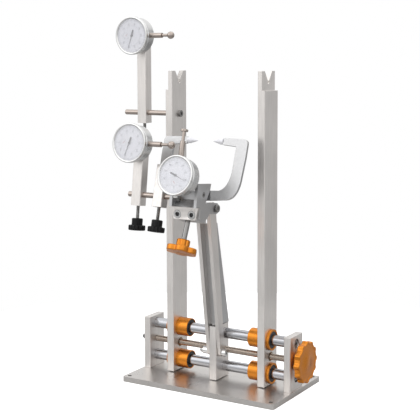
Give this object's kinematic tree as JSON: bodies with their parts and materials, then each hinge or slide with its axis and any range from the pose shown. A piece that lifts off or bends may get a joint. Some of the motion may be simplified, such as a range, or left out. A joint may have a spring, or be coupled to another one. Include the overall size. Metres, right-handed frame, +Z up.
{
  "type": "bicycle wheel truing stand",
  "caption": "Bench stand for truing a bicycle wheel: two sliding uprights on guide rods, a tilting rim caliper and dial gauges on clamped bars.",
  "frame": {"origin": "centre of the base plate's underside", "axes": "+X from the left upright to the right one, +Y to the back, +Z up"},
  "size_m": [0.3145, 0.2101, 0.5478],
  "materials": {
    "satin_alloy": "satin clear anodised",
    "grey_alloy": "satin",
    "bright_alloy": "satin",
    "polished_steel": "polished",
    "screw_steel": "bright",
    "lead_steel": "machined",
    "bronze": "machined",
    "orange_anodised": "anodised",
    "bearing_black": "dark",
    "white_tip": "smooth",
    "black_knob": "matt",
    "needle_dark": "matt"
  },
  "bodies": {
    "frame": {"base_plate": "satin_alloy", "left_end_bracket": "satin_alloy", "right_end_bracket": "satin_alloy", "bracket_screws": "screw_steel", "upper_guide_rod": "polished_steel", "lower_guide_rod": "polished_steel", "rod_end_screws": "screw_steel", "centre_pillar": "satin_alloy", "arm_pivot_bolt": "polished_steel"},
    "left_carriage": {"left_upright": "satin_alloy", "left_bearing_housings": "orange_anodised", "left_linear_bearings": "bearing_black", "left_lead_nut": "bronze", "upper_gauge_rod": "polished_steel", "gauge_rod_screw": "screw_steel"},
    "right_carriage": {"right_upright": "satin_alloy", "right_bearing_housings": "orange_anodised", "right_linear_bearings": "bearing_black", "right_lead_nut": "bronze"},
    "width_screw": {"lead_screw": "lead_steel", "width_knob": "orange_anodised", "lead_screw_cap_nut": "screw_steel"},
    "arms": {"left_arm": "satin_alloy", "right_arm": "satin_alloy", "arm_spine": "grey_alloy", "head_pivot_bolt": "polished_steel"},
    "head": {"head_block": "grey_alloy", "head_front_plate": "bright_alloy", "front_plate_screws": "screw_steel", "left_ear": "grey_alloy", "right_ear": "grey_alloy", "ear_screws": "screw_steel", "finger_pivot_screws": "screw_steel", "lower_gauge_rod": "polished_steel", "gauge_rod_nut": "screw_steel"},
    "left_jaw": {"left_finger": "grey_alloy", "left_finger_tip": "white_tip"},
    "right_jaw": {"right_finger": "grey_alloy", "right_finger_tip": "white_tip"},
    "finger_adjuster": {"finger_screw": "polished_steel", "star_knob": "orange_anodised"},
    "hub_gauge": {"hub_gauge_bar": "satin_alloy", "hub_gauge_case": "bright_alloy"},
    "side_gauge": {"side_gauge_bar": "satin_alloy", "side_gauge_case": "bright_alloy"},
    "radial_gauge": {"radial_gauge_bar": "satin_alloy", "radial_gauge_link": "satin_alloy", "radial_gauge_case": "bright_alloy"},
    "hub_clamp": {"hub_clamp_knob": "black_knob"},
    "hub_dial_ring": {"hub_gauge_bezel": "polished_steel"},
    "hub_pointer": {"hub_gauge_needle": "needle_dark"},
    "hub_probe": {"hub_gauge_plunger": "polished_steel"},
    "side_clamp": {"side_clamp_knob": "black_knob"},
    "side_dial_ring": {"side_gauge_bezel": "polished_steel"},
    "side_pointer": {"side_gauge_needle": "needle_dark"},
    "side_probe": {"side_gauge_plunger": "polished_steel"},
    "radial_clamp": {"radial_clamp_knob": "black_knob"},
    "radial_dial_ring": {"radial_gauge_bezel": "polished_steel"},
    "radial_pointer": {"radial_gauge_needle": "needle_dark"},
    "radial_probe": {"radial_gauge_plunger": "polished_steel"}
  },
  "joints": [
    {"name": "left_carriage_slide", "type": "slide", "parent": "frame", "child": "left_carriage", "axis": [1, 0, 0], "range_m": [-0.023, 0.022]},
    {"name": "right_carriage_slide", "type": "slide", "parent": "frame", "child": "right_carriage", "axis": [1, 0, 0], "range_m": [-0.022, 0.023]},
    {"name": "width_screw_turn", "type": "hinge", "parent": "frame", "child": "width_screw", "pos_m": [0, 0, 0.051], "axis": [1, 0, 0], "range_deg": [-4200, 4000]},
    {"name": "arm_tilt", "type": "hinge", "parent": "frame", "child": "arms", "pos_m": [0, -0.0155, 0.05], "axis": [1, 0, 0], "range_deg": [0, 55]},
    {"name": "head_tilt", "type": "hinge", "parent": "arms", "child": "head", "pos_m": [0, -0.044, 0.27], "axis": [1, 0, 0], "range_deg": [-8, 25]},
    {"name": "right_finger_swing", "type": "hinge", "parent": "head", "child": "right_jaw", "pos_m": [0.014, -0.0708, 0.292], "axis": [0, -0.9466, 0.3223], "range_deg": [-12, 6]},
    {"name": "left_finger_swing", "type": "hinge", "parent": "head", "child": "left_jaw", "pos_m": [-0.014, -0.0708, 0.292], "axis": [0, -0.9466, 0.3223], "range_deg": [-6, 12]},
    {"name": "finger_screw_turn", "type": "hinge", "parent": "head", "child": "finger_adjuster", "pos_m": [0, -0.0915, 0.2589], "axis": [0, 0.4003, 0.9164], "range_deg": [-370, 190]},
    {"name": "hub_gauge_slide", "type": "slide", "parent": "left_carriage", "child": "hub_gauge", "axis": [1, 0, 0], "range_m": [-0.02, 0.03]},
    {"name": "side_gauge_slide", "type": "slide", "parent": "head", "child": "side_gauge", "axis": [1, 0, 0], "range_m": [-0.008, 0.006]},
    {"name": "radial_gauge_swing", "type": "hinge", "parent": "head", "child": "radial_gauge", "pos_m": [-0.0474, -0.09, 0.289], "axis": [1, 0, 0], "range_deg": [-5, 12]},
    {"name": "hub_clamp_turn", "type": "hinge", "parent": "hub_gauge", "child": "hub_clamp", "pos_m": [-0.1355, 0, 0.4026], "axis": [0, 0, 1], "range_deg": [-720, 0]},
    {"name": "hub_bezel_turn", "type": "hinge", "parent": "hub_gauge", "child": "hub_dial_ring", "pos_m": [-0.1355, -0.0325, 0.5193], "axis": [0, 1, 0], "continuous": true},
    {"name": "hub_plunger_slide", "type": "slide", "parent": "hub_gauge", "child": "hub_probe", "axis": [-1, 0, 0], "range_m": [0, 0.008], "stiffness_N_per_m": 100, "springref_m": -0.004},
    {"name": "hub_needle_turn", "type": "hinge", "parent": "hub_gauge", "child": "hub_pointer", "pos_m": [-0.1355, -0.0325, 0.5193], "axis": [0, 1, 0], "range_deg": [0, 2900]},
    {"name": "side_clamp_turn", "type": "hinge", "parent": "side_gauge", "child": "side_clamp", "pos_m": [-0.085, -0.09, 0.289], "axis": [0, 0.1271, 0.9919], "range_deg": [-720, 0]},
    {"name": "side_bezel_turn", "type": "hinge", "parent": "side_gauge", "child": "side_dial_ring", "pos_m": [-0.085, -0.11293, 0.36574], "axis": [0, 0.9919, -0.1271], "continuous": true},
    {"name": "side_plunger_slide", "type": "slide", "parent": "side_gauge", "child": "side_probe", "axis": [-1, 0, 0], "range_m": [0, 0.008], "stiffness_N_per_m": 100, "springref_m": -0.004},
    {"name": "side_needle_turn", "type": "hinge", "parent": "side_gauge", "child": "side_pointer", "pos_m": [-0.085, -0.11293, 0.36574], "axis": [0, 0.9919, -0.1271], "range_deg": [0, 2900]},
    {"name": "radial_clamp_turn", "type": "hinge", "parent": "radial_gauge", "child": "radial_clamp", "pos_m": [-0.0474, -0.09, 0.289], "axis": [0, 0.2521, 0.9677], "range_deg": [-720, 0]},
    {"name": "radial_bezel_turn", "type": "hinge", "parent": "radial_gauge", "child": "radial_dial_ring", "pos_m": [0, -0.1245, 0.32516], "axis": [0, 0.9677, -0.2521], "continuous": true},
    {"name": "radial_plunger_slide", "type": "slide", "parent": "radial_gauge", "child": "radial_probe", "axis": [0, -0.2521, -0.9677], "range_m": [0, 0.008], "stiffness_N_per_m": 100, "springref_m": -0.004},
    {"name": "radial_needle_turn", "type": "hinge", "parent": "radial_gauge", "child": "radial_pointer", "pos_m": [0, -0.1245, 0.32516], "axis": [0, 0.9677, -0.2521], "range_deg": [0, 2900]}
  ],
  "couplings": [
    {"joint": "right_carriage_slide", "follows": "left_carriage_slide", "ratio": -1},
    {"joint": "width_screw_turn", "follows": "left_carriage_slide", "rad_per_m": 3141.6},
    {"joint": "left_finger_swing", "follows": "right_finger_swing", "ratio": -1},
    {"joint": "finger_screw_turn", "follows": "right_finger_swing", "ratio": 30},
    {"joint": "hub_needle_turn", "follows": "hub_plunger_slide", "rad_per_m": 6283.2},
    {"joint": "side_needle_turn", "follows": "side_plunger_slide", "rad_per_m": 6283.2},
    {"joint": "radial_needle_turn", "follows": "radial_plunger_slide", "rad_per_m": 6283.2}
  ]
}
